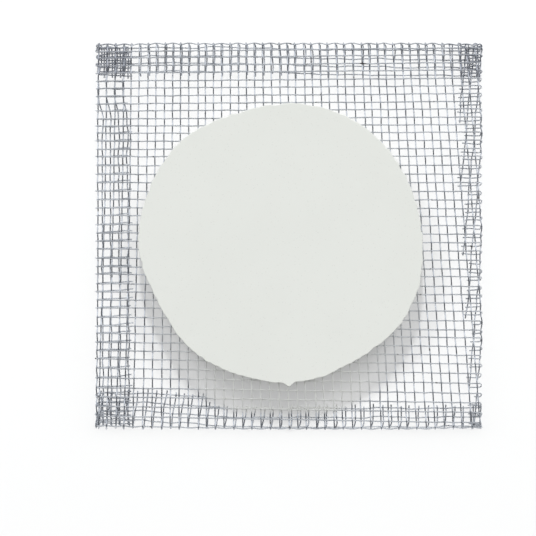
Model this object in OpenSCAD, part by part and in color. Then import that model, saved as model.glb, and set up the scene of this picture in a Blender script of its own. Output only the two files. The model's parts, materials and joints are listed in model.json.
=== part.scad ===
// Laboratory wire gauze: a square of woven steel cloth, hemmed on its four sides, with a round
// ceramic centre pressed into the middle. It lies flat with the folded hems underneath.
// The origin is under the middle of the sheet, on the surface that it lies on.

/* [Cloth] */
// Width of the hemmed sheet from fold to fold, along X
sheet_w = 125; // [122:1:160]
// Depth of the hemmed sheet from fold to fold, along Y
sheet_d = 125; // [122:1:160]
// Diameter of the wire
wire_d = 0.45; // [0.3:0.05:0.6]
// Spacing of the warp wires, which run along Y
warp_pitch = 2.67; // [1.8:0.01:4]
// Spacing of the weft wires, which run along X
weft_pitch = 2.74; // [1.8:0.01:4]
// Clearance between one layer of wires and the next
layer_gap = 0.05; // [0.02:0.01:0.15]

/* [Hems] */
// Number of wires that lie along an edge in its folded flap
flap_wires = 4; // [2:1:4]
// The same for the flap of the right edge, which was cut narrower
right_flap_wires = 3; // [2:1:4]
// Length of the cut wire ends that stick out past the last wire of a flap
fringe = 1.8; // [0.8:0.1:2]
// Length over which the front and back flaps step down to pass under the corners
step_run = 8; // [5:0.5:12]

/* [Ceramic centre] */
// Mean diameter of the ceramic centre
centre_d = 90; // [60:1:90]
// Offset of the ceramic centre from the middle of the sheet, along X
centre_x = -2.3; // [-3:0.1:3]
// Offset of the ceramic centre from the middle of the sheet, along Y
centre_y = -1.9; // [-3:0.1:3]
// Thickness of the coat on each face of the cloth
coat = 1.2; // [0.8:0.1:1.5]
// Radius of the rounded rim of each coat
rim_round = 0.6; // [0.2:0.1:0.7]
// How far the hand-pressed rim wanders in and out
rim_wander = 0.5; // [0:0.1:0.6]
// Height of the small pointed lip on the rim
lip = 1.2; // [0:0.1:1.5]
// The ceramic keys through every so many openings of the cloth, in each direction
key_step = 4; // [3:1:6]
// Clearance between a key and the wires around it
key_gap = 0.08; // [0.04:0.01:0.2]

/* [Hidden] */

section_sides = 8;
rim_points = 120;
rim_steps = 3;
lip_angle = 273;

half_w = sheet_w / 2;
half_d = sheet_d / 2;
layer = wire_d + layer_gap;

// The outermost wire lies this far in from a fold, so that the fold passes outside it
fold_room = 1.5 * wire_d + layer_gap;
warp_count = floor((sheet_w - 2 * fold_room) / warp_pitch) + 1;
weft_count = floor((sheet_d - 2 * fold_room) / weft_pitch) + 1;
function warp_x(i) = (i - (warp_count - 1) / 2) * warp_pitch;
function weft_y(j) = (j - (weft_count - 1) / 2) * weft_pitch;

// The cloth goes on past the fold at its own spacing, and the fold mirrors it
function flap_warp_x(k) = 2 * half_w - warp_x(warp_count - 1 + k);
function flap_weft_y(k) = 2 * half_d - weft_y(weft_count - 1 + k);
function side_flap(side) = side < 0 ? flap_wires : right_flap_wires;
function end_x(side) = flap_warp_x(side_flap(side)) - fringe;
end_y = flap_weft_y(flap_wires) - fringe;

// Layers of wire, counted down from the top. The side flaps are folded under first. The front and
// back flaps are folded over them, so these lie close under the cloth in the middle and step down
// to the lowest layers at the corners.
CLOTH_WARP = 0;
CLOTH_WEFT = 1;
SIDE_FLAP_WEFT = 2;
SIDE_FLAP_WARP = 3;
CORNER_WARP = 4;
CORNER_WEFT = 5;
LOW_WEFT = 6;
LOW_WARP = 7;
HIGH_WEFT = SIDE_FLAP_WEFT;
HIGH_WARP = SIDE_FLAP_WARP;
function level(layers) = wire_d / 2 + (LOW_WARP - layers) * layer;

// Where the front and back flaps have stepped down on each side, clear of the cut side flap ends
function step_x(side) = end_x(side) - layer;
function stepped(x) = min(1, max(0, 1 - (step_x(sign(x)) - abs(x)) / step_run));
function flap_warp_layer(x) = HIGH_WARP + (LOW_WARP - HIGH_WARP) * stepped(x);

// Solid through a row of rings that have the same number of points
module loft(rings) {
    sides = len(rings[0]);
    last = len(rings) - 1;
    caps = [
        [for (k = [0:sides - 1]) k],
        [for (k = [sides - 1:-1:0]) last * sides + k]
    ];
    walls = [
        for (i = [0:last - 1], k = [0:sides - 1])
            let (next = (k + 1) % sides)
            [i * sides + k, (i + 1) * sides + k, (i + 1) * sides + next, i * sides + next]
    ];
    polyhedron([for (ring = rings) each ring], concat(caps, walls));
}

// Direction from one point of a route to another
function heading(a, b) = (b - a) / norm(b - a);

// Section of a wire at point i of its route, cut along the mitre of the bend there
function wire_ring(route, i) =
    let (
        last = len(route) - 1,
        before = heading(route[max(i - 1, 0)], route[max(i, 1)]),
        after = heading(route[min(i, last - 1)], route[min(i + 1, last)]),
        mitre = heading([0, 0], before + after),
        across = [-mitre[1], mitre[0]] / (mitre * before),
        radius = wire_d / 2 / cos(180 / section_sides)
    )
    [
        for (k = [0:section_sides - 1])
            let (
                angle = (k + 0.5) * 360 / section_sides,
                out = radius * cos(angle) * across
            )
            [route[i][0] + out[0], radius * sin(angle), route[i][1] + out[1]]
    ];

// Wire that follows a route in the XZ plane
module wire(route)
    loft([for (i = [0:len(route) - 1]) wire_ring(route, i)]);

// Route between two folds, which comes back underneath at both ends. The run holds its inner points
function folded(reach, ends, top, under, run = []) =
    let (tip = reach - wire_d / 2)
    concat(
        [[-ends[0], level(under)], [-tip, level(under)], [-tip, level(top)]],
        run,
        [[tip, level(top)], [tip, level(under)], [ends[1], level(under)]]
    );

module warp_wire(x, reach, top, under)
    translate([x, 0, 0])
        rotate([0, 0, 90])
            wire(folded(reach, [end_y, end_y], top, under));

module weft_wire(y, top, under, run = [])
    translate([0, y, 0])
        wire(folded(half_w, [end_x(-1), end_x(1)], top, under, run));

module warp_wires() color([0.42, 0.44, 0.47]) {
    for (i = [0:warp_count - 1])
        warp_wire(warp_x(i), half_d, CLOTH_WARP, flap_warp_layer(warp_x(i)));
    for (side = [-1, 1], k = [1:side_flap(side)])
        warp_wire(side * flap_warp_x(k), half_d - layer, SIDE_FLAP_WARP, CORNER_WARP);
}

module weft_wires() color([0.58, 0.60, 0.62]) {
    step_down = [
        [-step_x(-1), level(LOW_WEFT)],
        [step_run - step_x(-1), level(HIGH_WEFT)],
        [step_x(1) - step_run, level(HIGH_WEFT)],
        [step_x(1), level(LOW_WEFT)]
    ];
    for (j = [0:weft_count - 1])
        weft_wire(weft_y(j), CLOTH_WEFT, SIDE_FLAP_WEFT);
    for (side = [-1, 1], k = [1:flap_wires])
        weft_wire(side * flap_weft_y(k), LOW_WEFT, CORNER_WEFT, step_down);
}

// Radius of the uneven rim in a given direction, with its one pointed lip
function rim_r(angle) =
    centre_d / 2
    + rim_wander * (cos(2 * angle + 30) + cos(4 * angle + 100))
    + rim_wander / 2 * (cos(3 * angle - 135) + cos(7 * angle + 180))
    + (angle == lip_angle ? lip : 0);

function rim_outline(inset) = [
    for (k = [0:rim_points - 1])
        let (angle = k * 360 / rim_points)
        (rim_r(angle) - inset) * [cos(angle), sin(angle)]
];

front_face = level(CLOTH_WARP) + wire_d / 2 + layer_gap;
back_face = level(CLOTH_WEFT) - wire_d / 2 - layer_gap;

// Coat of ceramic that stands on the XY plane, with its rim rounded off in thin layers
module ceramic_coat()
    for (step = [0:rim_steps - 1]) {
        rise = (step + 0.5) / rim_steps;
        linear_extrude(height = coat - rim_round * (1 - (step + 1) / rim_steps))
            polygon(rim_outline(rim_round * (1 - sqrt(1 - rise ^ 2))));
    }

// Ceramic that fills openings of the cloth and holds the two coats together
module ceramic_keys() {
    key = [warp_pitch - wire_d - 2 * key_gap, weft_pitch - wire_d - 2 * key_gap];
    bite = (coat - rim_round) / 2;
    for (i = [0:key_step:warp_count - 2], j = [0:key_step:weft_count - 2]) {
        x = warp_x(i) + warp_pitch / 2 - centre_x;
        y = weft_y(j) + weft_pitch / 2 - centre_y;
        if (norm([x, y]) + norm(key) < centre_d / 2 - 2 * rim_wander)
            translate([x - key[0] / 2, y - key[1] / 2, back_face - bite])
                cube([key[0], key[1], front_face - back_face + 2 * bite]);
    }
}

module ceramic_centre() color([0.90, 0.91, 0.89])
    translate([centre_x, centre_y, 0]) {
        translate([0, 0, front_face])
            ceramic_coat();
        translate([0, 0, back_face])
            mirror([0, 0, 1])
                ceramic_coat();
        ceramic_keys();
    }

warp_wires();
weft_wires();
ceramic_centre();
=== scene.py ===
import json
import math
import random

import bpy
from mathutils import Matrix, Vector, noise


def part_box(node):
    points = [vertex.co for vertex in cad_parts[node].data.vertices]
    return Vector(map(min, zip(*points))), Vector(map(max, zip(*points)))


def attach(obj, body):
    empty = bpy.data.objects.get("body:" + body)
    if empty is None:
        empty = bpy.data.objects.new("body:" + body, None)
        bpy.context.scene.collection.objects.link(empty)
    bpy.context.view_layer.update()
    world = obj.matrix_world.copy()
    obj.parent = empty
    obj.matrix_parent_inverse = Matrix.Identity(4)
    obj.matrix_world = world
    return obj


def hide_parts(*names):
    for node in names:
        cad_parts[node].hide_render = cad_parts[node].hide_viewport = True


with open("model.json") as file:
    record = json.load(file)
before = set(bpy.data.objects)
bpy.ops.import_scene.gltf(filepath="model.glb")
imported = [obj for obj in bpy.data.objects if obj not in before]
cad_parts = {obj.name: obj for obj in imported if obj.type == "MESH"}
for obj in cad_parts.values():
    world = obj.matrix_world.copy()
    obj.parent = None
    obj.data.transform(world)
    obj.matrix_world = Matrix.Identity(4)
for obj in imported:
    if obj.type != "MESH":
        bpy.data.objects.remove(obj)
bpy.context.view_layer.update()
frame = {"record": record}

mm = 0.001


# -------------------------------------------------------------------------------------------------
# Warp wires: mild steel, drawn to 0.45 mm and dulled by handling. They run from the back of the
# cloth to the front, over and under the weft wires in turn, and fan out a little on the way.
# The cloth is woven flat. Its sides are folded under first, and then its back and front.

wire_d = 0.45 * mm
wire_gap = 0.05 * mm
crimp = wire_d / 2

main_warps = 47
left_flap_warps = 4
right_flap_warps = 3
main_wefts = 46
back_flap_wefts = 5
front_flap_wefts = 4
warp_numbers = range(-left_flap_warps, main_warps + right_flap_warps)
weft_numbers = range(-back_flap_wefts, main_wefts + front_flap_wefts)

half_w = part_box("weft_wires")[1].x
half_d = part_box("warp_wires")[1].y
cloth_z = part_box("warp_wires")[1].z - wire_d - wire_gap / 2

# The cloth is folded round a radius that leaves room for one sheet, or for three at the corners.
# The back and front folds widen to that over corner_run.
fold_r = wire_d + wire_gap
corner_r = 3 * fold_r
corner_left = 50.6 * mm
corner_right = 53 * mm
corner_run = 8 * mm
side_start = half_w - wire_d - fold_r


def ease(value, low, high):
    """0 below low, 1 above high, and smooth in between."""
    t = min(1, max(0, (value - low) / (high - low)))
    return t * t * (3 - 2 * t)


def between(a, b, share):
    return a + (b - a) * share


def fold_radius(x):
    """Radius of the back and front folds at x."""
    corner = corner_left if x < 0 else corner_right
    return between(fold_r, corner_r, ease(abs(x), corner - corner_run, corner))


def end_start(x):
    """How far from the middle the back and front folds start at x."""
    return half_d - wire_d - fold_radius(x)


def bend(past, height, radius):
    """Reach and height of a point that lies that far past the start of a fold."""
    if past <= 0:
        return past, height
    angle = past / radius
    if angle < math.pi:
        return (radius + height) * math.sin(angle), (radius + height) * math.cos(angle) - radius
    return math.pi * radius - past, -2 * radius - height


# Each flap was pushed along its edge as it was bent by hand. The push comes on within push_run of
# the fold and is another one at the corners, which begin and end this far from the middle. A
# slant is a push that grows with the way past the fold, and a spread is one that grows with the
# way from the middle of the edge.
push_run = 1.6 * mm
side_corners = (48 * mm, 52 * mm)
front_corners = (48 * mm, 52 * mm)
back_corners = (52 * mm, 56 * mm)
right_push = -1.15 * mm
right_push_at_back = -1.05 * mm
right_slant = 0.02
right_slant_at_back = 0.14
left_push_at_front = 1 * mm
left_push_at_back = 1.24 * mm
left_slant = 0.04
back_push = 0.55 * mm
back_push_at_left = -0.3 * mm
back_push_at_right = 0.95 * mm
back_spread = 0.006
front_push_at_left = -0.6 * mm
front_slant_left = 0.13
front_push_right = 0.75 * mm
front_push_run = 3 * mm
front_push_change = (-15 * mm, 15 * mm)

# Besides, the wires stray a little in the open cloth, and more in the flaps. This noise goes by
# the clock and not by a seed, so the strays are slightly different in each run.
ripple_length = 5 * mm
open_ripple = 0.14 * mm
flap_ripple = 0.44 * mm
flap_ripple_run = 2 * mm


def slip(x, y):
    """How far the hand-bent flaps, and the cloth a little everywhere, are pushed out of place."""
    past_side = max(0, abs(x) - side_start)
    past_end = max(0, abs(y) - half_d + fold_r)
    round_side = ease(past_side, 0, push_run)
    round_end = ease(past_end, 0, push_run)
    at_left = ease(-x, *side_corners)
    at_right = ease(x, *side_corners)
    at_front = ease(-y, *front_corners)
    at_back = ease(y, *back_corners)
    moved = Vector((0, 0))
    if x > 0:
        moved.y = between(right_push, right_push_at_back, at_back) * round_side
        moved.y += between(right_slant, right_slant_at_back, at_back) * past_side
    else:
        pushed = left_push_at_back * at_back + left_push_at_front * at_front
        moved.y = pushed * round_side + left_slant * past_side
    if y > 0:
        pushed = back_push + (back_push_at_left - back_push) * at_left
        pushed += (back_push_at_right - back_push) * at_right + back_spread * x
        moved.x = pushed * round_end
    else:
        left_part = front_slant_left * past_end + front_push_at_left * at_left * round_end
        right_part = front_push_right * ease(past_end, 0, front_push_run)
        moved.x = between(left_part, right_part, ease(x, *front_push_change))
    in_flap = max(ease(past_side, 0, flap_ripple_run), ease(past_end, 0, flap_ripple_run))
    ripple = noise.noise_vector(Vector((x, y, 0)) / ripple_length)
    return moved + between(open_ripple, flap_ripple, in_flap) * ripple.xy


def fold(x, y, height):
    """Place of a point of the flat cloth, at a height over its middle, once it is folded."""
    moved = slip(x, y)
    x, y = x + moved.x, y + moved.y
    reach, height = bend(abs(x) - side_start, height, fold_r)
    x = math.copysign(side_start + reach, x)
    start = end_start(x)
    reach, height = bend(abs(y) - start, height, fold_radius(x))
    return Vector((x, math.copysign(start + reach, y), cloth_z + height))


def past_fold(inset, radius):
    """How far past the start of a fold a wire lies that ends up that far in from the edge."""
    return inset - wire_d + (math.pi - 1) * radius


# The warps fan out from a point far behind the cloth, and this pitch is theirs at warp_pitch_y.
# Each of them strays a little from its place, and less so in the left flap.
warp_pitch = 2.667 * mm
warp_first = -61.5 * mm
warp_pitch_y = 45 * mm
warp_fan = Vector((-30, 1070)) * mm
warp_stray = random.Random(11)
warp_offset = {i: warp_stray.gauss(0, 0.12) * mm for i in warp_numbers}
flap_offset_share = 0.4

# Where the outermost warps bunch up along the left fold, counted from where the bend starts. On
# the right they run on round the fold into the flap, until they end at its slanting cut.
bunch_first = 0.5 * mm
bunch_pitch = 0.75 * mm
bunch_softness = 0.35 * mm

# The warps next to the left fold bow away from it in the middle of their length. The bow is full
# up to the first of the bowed warps, and gone at the other.
left_bow = 0.6 * mm
bowed_warps = (3, 7)
bow_middle = -5 * mm
bow_reach = 55 * mm
bow_angle = math.radians(81)

# Places of the left flap's warps, counted in from the edge at the back. They lean away from the
# edge towards the front, and were dragged out towards it near the back corner.
left_flap_first = 2.4 * mm
left_flap_pitch = 2.6 * mm
left_flap_lean = 0.00056 / mm
left_flap_drag = 1.45 * mm
left_flap_drag_at_corner = 0.29 * mm
left_flap_drag_start = (37 * mm, 46 * mm)
left_flap_drag_end = (50 * mm, 55 * mm)


def soft_min(a, b, softness):
    return -softness * math.log(math.exp(-a / softness) + math.exp(-b / softness))


def warp_x(i, y):
    """Flat place of warp i at y. Those under 0 and over 46 lie in the side flaps."""
    y = min(half_d, max(-half_d, y))
    if i < 0:
        inset = (left_flap_first - (i + 1) * left_flap_pitch) * (1 + left_flap_lean * (half_d - y))
        at_corner = ease(y, *left_flap_drag_end)
        dragged = between(left_flap_drag, left_flap_drag_at_corner, at_corner)
        inset -= dragged * ease(y, *left_flap_drag_start)
        return -side_start - past_fold(inset, fold_r) + flap_offset_share * warp_offset[i]
    straight = warp_first + i * warp_pitch + warp_offset[i]
    x = warp_fan.x + (straight - warp_fan.x) * (warp_fan.y - y) / (warp_fan.y - warp_pitch_y)
    if x > 0:
        return x
    along = min(1, abs(y - bow_middle) / bow_reach)
    bowed = left_bow * (1 - ease(i, *bowed_warps)) * math.cos(bow_angle * along)
    return -soft_min(-x, side_start + bunch_first - i * bunch_pitch, bunch_softness) + bowed


# The wefts were beaten closer together at the back than at the front, and they lean a little, the
# more the further they lie from the level one.
weft_first = 60.2 * mm
back_pitch = 2.45 * mm
middle_pitch = 2.74 * mm
front_pitch = 3.12 * mm
back_pitch_ends = (9, 15)
front_pitch_starts = (36, 39)
level_weft = 17
weft_lean = 0.000645
weft_stray = random.Random(5)
weft_offset = {j: weft_stray.gauss(0, 0.1) * mm for j in weft_numbers}

# The first weft past the back fold lies on it, and the last ones of the cloth are held at the
# front fold. Both places are given as shares of the fold's radius, from where it starts.
on_back_fold = 0.95
on_front_fold = 0.8

# Places of the other wefts in the flaps, counted in from the edge. They change from those on the
# left to those on the right over a part of the width.
back_flap_first_left = 2.05 * mm
back_flap_first_right = 2.55 * mm
back_flap_pitch_left = 2.53 * mm
back_flap_pitch_right = 2.63 * mm
back_flap_slant = 0.0065
back_flap_change = (-12 * mm, 16 * mm)
front_flap_first_left = 3.2 * mm
front_flap_first_right = 0.9 * mm
front_flap_pitch_left = 2.8 * mm
front_flap_pitch_right = 3.13 * mm
front_flap_change = (-55 * mm, -10 * mm)

# The right flap was cut narrower at the front, and the front flap narrower on the right
right_cut_at_front = 4 * mm
right_cut_at_back = 7.6 * mm
front_cut_at_left = 12.5 * mm
front_cut_at_right = 9 * mm
right_cut_change = (-65 * mm, 30 * mm)
front_cut_change = (-45 * mm, -10 * mm)


def weft_pitch(j):
    """Spacing between weft j and the next one."""
    behind = between(back_pitch, middle_pitch, ease(j, *back_pitch_ends))
    return between(behind, front_pitch, ease(j, *front_pitch_starts))


weft_row = [weft_first]
for j in range(main_wefts - 1):
    weft_row.append(weft_row[-1] - weft_pitch(j))


def weft_y(j, x):
    """Flat place of weft j at x. Those under 0 and over 45 lie in the back and front flaps."""
    start = end_start(x)
    radius = fold_radius(x)
    if j == -1:
        return start + on_back_fold * radius
    if j < 0:
        across = ease(x, *back_flap_change)
        first = between(back_flap_first_left, back_flap_first_right, across)
        pitch = between(back_flap_pitch_left, back_flap_pitch_right, across)
        inset = first - (j + 2) * pitch + back_flap_slant * x
        return start + past_fold(inset, radius) + weft_offset[j]
    if j >= main_wefts:
        across = ease(x, *front_flap_change)
        first = between(front_flap_first_left, front_flap_first_right, across)
        pitch = between(front_flap_pitch_left, front_flap_pitch_right, across)
        inset = first + (j - main_wefts) * pitch
        return -start - past_fold(inset, radius) - weft_offset[j]
    lean = (j - level_weft) * weft_lean
    return max(weft_row[j] + weft_offset[j] - lean * x, -start - on_front_fold * radius)


def crossing(i, j):
    """Flat place where warp i and weft j cross, closed in on from the middle of the warp."""
    x = warp_x(i, 0)
    for _ in range(3):
        y = weft_y(j, x)
        x = warp_x(i, y)
    return x, y


def inside_cut(x, y):
    """Whether a flat place lies inside the cut edges of the right flap and of the front flap."""
    right_inset = between(right_cut_at_front, right_cut_at_back, ease(y, *right_cut_change))
    front_inset = between(front_cut_at_left, front_cut_at_right, ease(x, *front_cut_change))
    right = side_start + past_fold(right_inset, fold_r)
    front = end_start(x) + past_fold(front_inset, fold_radius(x))
    return x < right and y > -front


# A wire is laid in steps of this length, in shorter ones round the folds, and in no fewer than
# least_steps between two crossings. At its cut ends the wave of the weave goes on by end_wave.
straight_step = 0.75 * mm
bent_step = 0.28 * mm
least_steps = 4
end_wave = 0.4


def with_ends(crossings, before, after):
    """The crossings along a wire and its two cut ends, which stick out by before and after."""
    (first, first_n), (last, last_n) = crossings[0], crossings[-1]
    way = math.copysign(1, last - first)
    start = (first - way * before, first_n - end_wave)
    end = (last + way * after, last_n + end_wave)
    return [start, *crossings, end]


def wire_points(crossings, place, over, fold_start, radius):
    """Points along one wire. crossings are the flat places where it crosses the others, with
    their numbers. place folds a flat place and height. over is 1 where the wire goes over the
    crossings with an even number, and -1 where it goes under them."""
    points = []
    for (a, from_n), (b, to_n) in zip(crossings, crossings[1:]):
        near, far = sorted((abs(a), abs(b)))
        bent = near < fold_start + math.pi * radius and far > fold_start
        steps = max(least_steps, math.ceil(abs(b - a) / (bent_step if bent else straight_step)))
        last = b == crossings[-1][0]
        for step in range(steps + last):
            share = step / steps
            height = over * crimp * math.cos(math.pi * between(from_n, to_n, share))
            points.append(place(between(a, b, share), height))
    return points


def lay_wires(name, routes):
    """One mesh of round wires that follow the routes."""
    bpy.ops.object.select_all(action="DESELECT")
    bpy.ops.curve.primitive_bezier_curve_add(enter_editmode=False, location=(0, 0, 0))
    laid = bpy.context.object
    laid.name = laid.data.name = name
    curve = laid.data
    curve.splines.clear()
    curve.bevel_depth = wire_d / 2
    curve.bevel_resolution = 3
    curve.use_fill_caps = True
    for route in routes:
        spline = curve.splines.new("POLY")
        spline.points.add(len(route) - 1)
        for point, place in zip(spline.points, route):
            point.co = (*place, 1)
    bpy.ops.object.convert(target="MESH")
    bpy.ops.object.shade_smooth()
    return laid


# One warp was drawn tight on the loom and lies straighter than the rest on part of its length
tight_warp = 37
tight_front = 8 * mm
tight_back = 38 * mm
tight_run = 4 * mm
tight_share = 0.75

# How far the cut ends of the warps stick out past the last weft, in mm
warp_ends = (0.4, 1.6)


def warp_route(i):
    """Folded points along warp i, from the back to the front."""
    cut = random.Random(100 + i)
    crossings = []
    for j in weft_numbers:
        x, y = crossing(i, j)
        if inside_cut(x, y):
            crossings.append((y, j))
    back_end = cut.uniform(*warp_ends) * mm
    front_end = cut.uniform(*warp_ends) * mm
    crossings = with_ends(crossings, back_end, front_end)

    def place(y, height):
        if i == tight_warp:
            tight = ease(y, tight_front, tight_front + tight_run)
            tight -= ease(y, tight_back - tight_run, tight_back)
            height *= 1 - tight_share * tight
        return fold(warp_x(i, y), y, height)

    middle_x = warp_x(i, 0)
    over = -1 if i % 2 == 0 else 1
    return wire_points(crossings, place, over, end_start(middle_x), fold_radius(middle_x))


class Shade:
    """An output socket of a node tree. Sums and products of it add the Math nodes they need."""

    def __init__(self, tree, socket=None):
        self.tree = tree
        self.socket = socket

    def node(self, kind, settings=None, sockets=None, output=0):
        made = self.tree.nodes.new(kind)
        for name, value in (settings or {}).items():
            setattr(made, name, value)
        for name, value in (sockets or {}).items():
            if isinstance(value, Shade):
                self.tree.links.new(value.socket, made.inputs[name])
            else:
                made.inputs[name].default_value = value
        return Shade(self.tree, made.outputs[output])

    def into(self, node, name):
        self.tree.links.new(self.socket, node.inputs[name])

    def math(self, operation, first, second):
        return self.node("ShaderNodeMath", {"operation": operation}, {0: first, 1: second})

    def __add__(self, other):
        return self.math("ADD", self, other)

    def __sub__(self, other):
        return self.math("SUBTRACT", self, other)

    def __rsub__(self, other):
        return self.math("SUBTRACT", other, self)

    def __mul__(self, other):
        return self.math("MULTIPLY", self, other)

    def __pow__(self, other):
        return self.math("POWER", self, other)

    def __abs__(self):
        return self.math("ABSOLUTE", self, 0)

    __radd__ = __add__
    __rmul__ = __mul__

    def axis(self, number):
        """X, Y or Z of a vector, as number 0, 1 or 2."""
        return self.node("ShaderNodeSeparateXYZ", sockets={0: self}, output=number)

    def ramp(self, low, high):
        """0 where it is under low, 1 where it is over high."""
        sockets = {"Value": self, "From Min": low, "From Max": high}
        return self.node("ShaderNodeMapRange", {"interpolation_type": "SMOOTHSTEP"}, sockets)

    def mix(self, off, on):
        """Colour that goes from off to on as this socket goes from 0 to 1."""
        return self.node("ShaderNodeMix", {"data_type": "RGBA"}, {0: self, 6: off, 7: on}, 2)


# Painted shade for the doubled corners at the back: its dark bluish colour, and where it comes on
corner_shade_colour = (0.2, 0.21, 0.26, 1)
corner_shade_aside = (49 * mm, 54 * mm)
corner_shade_behind = (50 * mm, 54 * mm)
dark_oxide = (0.1, 0.095, 0.09, 1)

# Painted light: the wires over the ceramic's cast shadow on the table are painted pale and matt, as
# though lit by the lamps. It fades out at this distance from its middle, and towards the front fold
# and the sides
painted_light_pale = (0.82, 0.82, 0.79, 1)
painted_light_x = -1 * mm
painted_light_y = -14.4 * mm
painted_light_r = 45 * mm
painted_light_fade = 1.5 * mm
painted_light_front = (-57.6 * mm, -56 * mm)
painted_light_sides = (20 * mm, 38 * mm)


def wire_steel(name, bright, dull, lengthwise):
    """Drawn steel with fine lines along the wire, dull patches, a few darker, oxidised spots,
    painted shade at the doubled back corners and painted light in front of the ceramic.
    """
    material = bpy.data.materials.new(name)
    material.use_nodes = True
    tree = material.node_tree
    surface = tree.nodes["Principled BSDF"]
    place = Shade(tree).node("ShaderNodeTexCoord", output="Object")
    drawn = place.node("ShaderNodeMapping", sockets={"Vector": place, "Scale": lengthwise})
    lines = drawn.node("ShaderNodeTexNoise", sockets={"Vector": drawn, "Scale": 9000, "Detail": 3})
    patches = place.node("ShaderNodeTexNoise", sockets={"Vector": place, "Scale": 160, "Detail": 4})
    spots = place.node("ShaderNodeTexNoise", sockets={"Vector": place, "Scale": 420, "Detail": 2})
    dulled = patches.ramp(0.42, 0.66)
    oxide = spots.ramp(0.66, 0.76)
    steel = (dulled * 0.8 + lines * 0.2).mix(bright, dull)

    # Painted shade: the steel at the doubled corners at the back is painted darker and bluer, where
    # the stacked layers would shade each other
    x = place.axis(0)
    y = place.axis(1)
    corners = abs(x).ramp(*corner_shade_aside) * y.ramp(*corner_shade_behind)
    corner_shaded = (corners * 0.35).mix(steel, corner_shade_colour)
    rusted = oxide.mix(corner_shaded, dark_oxide)

    # Painted light: the wires in front of the rim, over the ceramic's shadow, are painted pale and
    # matt
    off_x = x - painted_light_x
    off_y = y - painted_light_y
    away = (off_x * off_x + off_y * off_y) ** 0.5
    near = (1 - away.ramp(painted_light_r - painted_light_fade, painted_light_r + painted_light_fade)) * y.ramp(*painted_light_front)
    most = 1 - abs(off_x).ramp(*painted_light_sides)
    painted_light_share = near * (0.35 + most * 0.65)
    painted_light_share.mix(rusted, painted_light_pale).into(surface, "Base Color")
    (0.2 + dulled * 0.1 + oxide * 0.3 + lines * 0.1 + painted_light_share * 0.6).into(surface, "Roughness")
    ((1 - oxide * 0.5) * (1 - painted_light_share)).into(surface, "Metallic")
    bump = {"Strength": 0.35, "Distance": 0.01 * mm, "Height": lines}
    lines.node("ShaderNodeBump", sockets=bump).into(surface, "Normal")
    return material


warp_steel = wire_steel("warp_steel", (0.55, 0.57, 0.61, 1), (0.38, 0.40, 0.43, 1), (1, 0.04, 1))
halfway = (main_warps - 1) // 2
for name, numbers in (
    ("left_warp_wires", range(-left_flap_warps, halfway)),
    ("right_warp_wires", range(halfway, main_warps + right_flap_warps)),
):
    warps = lay_wires(name, [warp_route(i) for i in numbers])
    warps.data.materials.append(warp_steel)
    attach(warps, "root")
    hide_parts("warp_wires")


# -------------------------------------------------------------------------------------------------
# Weft wires: the same drawn steel, straight from side to side through the warps. Their cut ends
# are folded under with the sides, and the last few lie in the back and front flaps.

# How far the cut ends of the wefts stick out past the last warp, in mm
weft_left_ends = (0.5, 1.6)
weft_right_ends = (0.3, 1.2)


def weft_route(j):
    """Folded points along weft j, from the left to the right."""
    cut = random.Random(300 + j)
    crossings = []
    for i in warp_numbers:
        x, y = crossing(i, j)
        if inside_cut(x, y):
            crossings.append((x, i))
    left_end = cut.uniform(*weft_left_ends) * mm
    right_end = cut.uniform(*weft_right_ends) * mm
    crossings = with_ends(crossings, left_end, right_end)

    def place(x, height):
        return fold(x, weft_y(j, x), height)

    over = 1 if j % 2 == 0 else -1
    return wire_points(crossings, place, over, side_start, fold_r)


# Painted sheen: the wefts are the warps' steel painted lighter, standing in for the lamps' glint on
# them
weft_steel = wire_steel("weft_steel", (0.74, 0.76, 0.79, 1), (0.56, 0.58, 0.61, 1), (0.04, 1, 1))
halfway = main_wefts // 2
for name, numbers in (
    ("back_weft_wires", range(-back_flap_wefts, halfway)),
    ("front_weft_wires", range(halfway, main_wefts + front_flap_wefts)),
):
    wefts = lay_wires(name, [weft_route(j) for j in numbers])
    wefts.data.materials.append(weft_steel)
    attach(wefts, "root")
    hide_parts("weft_wires")


# -------------------------------------------------------------------------------------------------
# Ceramic centre: a matt, off-white paste that was pressed on both faces of the cloth by hand and
# fired. It fills the openings, so it is one body. Its rim is uneven and thins out on the wires.

seat = Vector(frame["record"]["mounts"][0]["pos_m"])
ceramic_low, ceramic_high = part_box("ceramic_centre")
front_rise = ceramic_high.z - cloth_z
back_drop = cloth_z - ceramic_low.z
mean_r = 45.25 * mm
rim_edge = 0.35 * mm
rim_lean = 0.08 * mm
rim_round = 0.3 * mm
rim_points = 288
rim_rings = 6
lip_angle = math.radians(273)
lip_height = 1.3 * mm
lip_width = math.radians(1.6)
scallop_depth = 0.45 * mm
scallop_length = 2.2 * mm
same_place = 0.01 * mm


def rim_r(angle):
    """Radius of the pressed rim: long waves, a pointed lip, and small scallops where the paste
    ran between the wires."""
    radius = mean_r + mm * (
        0.2 * math.cos(angle + 0.8)
        + 0.51 * math.cos(2 * angle + 0.56)
        + 0.26 * math.cos(3 * angle - 2.37)
        + 0.52 * math.cos(4 * angle + 1.75)
        + 0.14 * math.cos(5 * angle + 1.87)
        + 0.29 * math.cos(7 * angle + 3.09)
        + 0.16 * math.cos(8 * angle - 0.52)
    )
    radius += lip_height * math.exp(-(((angle - lip_angle) / lip_width) ** 2))
    around = Vector((math.cos(angle), math.sin(angle), 0)) * mean_r
    return radius + scallop_depth * noise.noise(around / scallop_length)


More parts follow.
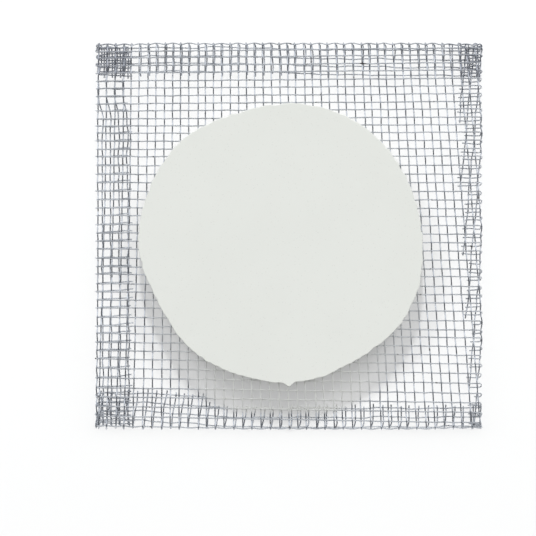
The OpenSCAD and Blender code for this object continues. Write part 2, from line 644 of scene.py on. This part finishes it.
def grow_coat(rise):
    """Extrudes the selected rim up its wall and over its rounding, and fills the face if what is
    selected is a single ring."""
    radius, height = mean_r, 0
    steps = [(0, rim_edge)]
    for ring in range(rim_rings + 1):
        angle = math.pi / 2 * ring / rim_rings
        top = abs(rise) - rim_round * (1 - math.sin(angle))
        steps.append((rim_lean + rim_round * (1 - math.cos(angle)), top))
    for inset, top in steps:
        level = math.copysign(top, rise)
        bpy.ops.mesh.extrude_region_move(TRANSFORM_OT_translate={"value": (0, 0, level - height)})
        shrink = (mean_r - inset) / radius
        bpy.ops.transform.resize(value=(shrink, shrink, 1), center_override=(seat.x, seat.y, 0))
        radius, height = mean_r - inset, level
    bpy.ops.mesh.fill_grid(span=rim_points // 4)


bpy.ops.object.select_all(action="DESELECT")
bpy.ops.mesh.primitive_circle_add(
    vertices=rim_points, radius=mean_r, location=(seat.x, seat.y, cloth_z)
)
ceramic = bpy.context.object
ceramic.name = ceramic.data.name = "pressed_ceramic"
bpy.ops.object.transform_apply(location=True, rotation=True, scale=True)
bpy.ops.object.mode_set(mode="EDIT")
bpy.ops.mesh.select_all(action="SELECT")
grow_coat(front_rise)
bpy.ops.object.mode_set(mode="OBJECT")

# The back coat is only a rim. It grows from the straight part of the front one, which is two
# rings, so its face isn't filled, and the ceramic stays open underneath.
for vertex in ceramic.data.vertices:
    out = math.hypot(vertex.co.x - seat.x, vertex.co.y - seat.y)
    vertex.select = abs(out - mean_r) < same_place
for edge in ceramic.data.edges:
    edge.select = all(ceramic.data.vertices[v].select for v in edge.vertices)
for face in ceramic.data.polygons:
    face.select = False
bpy.ops.object.mode_set(mode="EDIT")
bpy.ops.mesh.select_mode(type="EDGE")
grow_coat(-back_drop)
bpy.ops.mesh.select_all(action="SELECT")
bpy.ops.mesh.remove_doubles(threshold=0.1 * same_place)
bpy.ops.mesh.normals_make_consistent(inside=False)
bpy.ops.object.mode_set(mode="OBJECT")
rounded = ceramic.modifiers.new("rounded", "SUBSURF")
rounded.levels = rounded.render_levels = 1
bpy.ops.object.modifier_apply(modifier="rounded")

# Small dents that tools and handling left in the soft paste: place, radius and depth of each.
# The radii and depths are in mm.
dent_count = 70
dented_share = 0.96
dent_radii = (0.7, 2.4)
dent_depths = (0.015, 0.055)
dents = []
press = random.Random(8)
for _ in range(dent_count):
    angle = press.uniform(0, math.tau)
    out = mean_r * dented_share * math.sqrt(press.random())
    centre = seat.xy + Vector((math.cos(angle), math.sin(angle))) * out
    dent_r = press.uniform(*dent_radii) * mm
    dents.append((centre, dent_r, press.uniform(*dent_depths) * mm))

# The uneven rim fades out towards the middle, and both faces sink in broad swells, fine ones and
# the dents
swell_depth = 0.05 * mm
swell_length = 17 * mm
fine_depth = 0.012 * mm
fine_length = 3.1 * mm
for vertex in ceramic.data.vertices:
    offset = vertex.co.xy - seat.xy
    out, angle = offset.length, math.atan2(offset.y, offset.x) % math.tau
    near_rim = (out / mean_r) ** 6
    vertex.co.xy = seat.xy + offset * between(1, rim_r(angle) / mean_r, near_rim)
    above = vertex.co.z - cloth_z
    full = front_rise if above > 0 else back_drop
    on_face = ease(abs(above) / full, 0.3, 1)
    swell = 0.6 - noise.noise(vertex.co / swell_length)
    fine = 0.5 - noise.noise(vertex.co / fine_length)
    sunk = on_face * (swell_depth * swell + fine_depth * fine)
    for centre, radius, depth in dents:
        away = (vertex.co.xy - centre).length / radius
        if away < 1:
            sunk += on_face * depth * (1 - away * away) ** 2
    vertex.co.z -= math.copysign(sunk, above)
bpy.ops.object.shade_smooth()


def fired_paste(name):
    """Matt fired clay and fibre: a faint mottle, fine grain, and pores with painted shade in them
    that show close up.
    """
    material = bpy.data.materials.new(name)
    material.use_nodes = True
    tree = material.node_tree
    surface = tree.nodes["Principled BSDF"]
    place = Shade(tree).node("ShaderNodeTexCoord", output="Object")
    mottle = place.node("ShaderNodeTexNoise", sockets={"Vector": place, "Scale": 55, "Detail": 5})
    grain = place.node("ShaderNodeTexNoise", sockets={"Vector": place, "Scale": 3500, "Detail": 6})
    pores = place.node("ShaderNodeTexVoronoi", sockets={"Vector": place, "Scale": 900})
    pits = 1 - pores.ramp(0.06, 0.2)
    clay = mottle.ramp(0.3, 0.7).mix((0.7, 0.708, 0.667, 1), (0.71, 0.718, 0.677, 1))
    # Painted shade: the pores are painted darker, as the shade in them
    (pits * 0.25).mix(clay, (0.45, 0.45, 0.42, 1)).into(surface, "Base Color")
    (0.86 + grain * 0.1).into(surface, "Roughness")
    surface.inputs["Specular IOR Level"].default_value = 0.2
    height = grain * 0.6 - pits * 0.8
    bump = {"Strength": 0.25, "Distance": 0.04 * mm, "Height": height}
    height.node("ShaderNodeBump", sockets=bump).into(surface, "Normal")
    return material


ceramic.data.materials.append(fired_paste("fired_paste"))
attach(ceramic, "root")
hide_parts("ceramic_centre")


# -------------------------------------------------------------------------------------------------
# Stage: a plain white table that glows a little, so that the shadow on it stays light. Behind the
# gauze are three low lamps, over the ceramic is one more, and a bright studio goes round them.
# The camera looks straight down.

bpy.ops.object.select_all(action="DESELECT")
bpy.ops.mesh.primitive_plane_add(size=4, location=(0, 0, 0))
table = bpy.context.object
table.name = "table"
table_paint = bpy.data.materials.new("table_paint")
table_paint.use_nodes = True
paint = table_paint.node_tree.nodes["Principled BSDF"]
paint.inputs["Base Color"].default_value = (0.36, 0.36, 0.357, 1)
paint.inputs["Roughness"].default_value = 0.95
paint.inputs["Specular IOR Level"].default_value = 0.1
paint.inputs["Emission Color"].default_value = (1, 1, 1, 1)
paint.inputs["Emission Strength"].default_value = 0.31
table.data.materials.append(table_paint)

# The wires are too thin to leave a shadow that shows, and would only glint in the lamps. So the
# low lamps light only the table, with the ceramic in their way, and the top one only the ceramic.
table_only = bpy.data.collections.new("table_only")
table_only.objects.link(table)
ceramic_only = bpy.data.collections.new("ceramic_only")
ceramic_only.objects.link(ceramic)
lamp_depth = 0.35
for name, width, energy, place, lit in (
    ("key_lamp", 0.3, 330, (-0.1, 4.1, 1.5), table_only),
    ("left_lamp", 1.8, 175, (-2.1, 3.3, 1.5), table_only),
    ("right_lamp", 1.8, 175, (2.1, 3.3, 1.5), table_only),
    ("top_lamp", 2, 60, (0, 1.5, 3), ceramic_only),
):
    lamp = bpy.data.lights.new(name, "AREA")
    lamp.shape = "RECTANGLE"
    lamp.size = width
    lamp.size_y = lamp_depth
    lamp.energy = energy
    hung = bpy.data.objects.new(name, lamp)
    hung.location = place
    hung.rotation_euler = hung.location.to_track_quat("Z", "Y").to_euler()
    bpy.context.scene.collection.objects.link(hung)
    hung.light_linking.receiver_collection = lit
    hung.light_linking.blocker_collection = ceramic_only

# The studio is bright behind the gauze, and low down in front and at the sides. It is dim between.
dim_light = 0.04
back_light = 1.3
front_light = 1.06
side_light = 0.7
studio = bpy.data.worlds.new("studio")
bpy.context.scene.world = studio
studio.use_nodes = True
background = studio.node_tree.nodes["Background"]
direction = Shade(studio.node_tree).node("ShaderNodeTexCoord", output="Generated")
forward = direction.axis(1)
behind = forward.ramp(-0.04, 0.2) - forward.ramp(0.55, 0.8) * 0.5
in_front = 1 - forward.ramp(-0.92, -0.68)
at_sides = abs(direction.axis(0)).ramp(0.72, 0.94)
light = dim_light + behind * back_light + in_front * front_light + at_sides * side_light
light.into(background, "Strength")
background.inputs["Color"].default_value = (0.96, 0.98, 1, 1)

view_width = 172.5 * mm
view_middle = Vector((-6.68, -10.25)) * mm
camera_data = bpy.data.cameras.new("camera")
camera_data.lens = 100
camera_data.sensor_width = 36
camera_height = view_width * camera_data.lens / camera_data.sensor_width
camera = bpy.data.objects.new("camera", camera_data)
camera.location = (*view_middle, cloth_z + camera_height)
bpy.context.scene.collection.objects.link(camera)
bpy.context.scene.camera = camera
bpy.context.scene.view_settings.view_transform = "Standard"
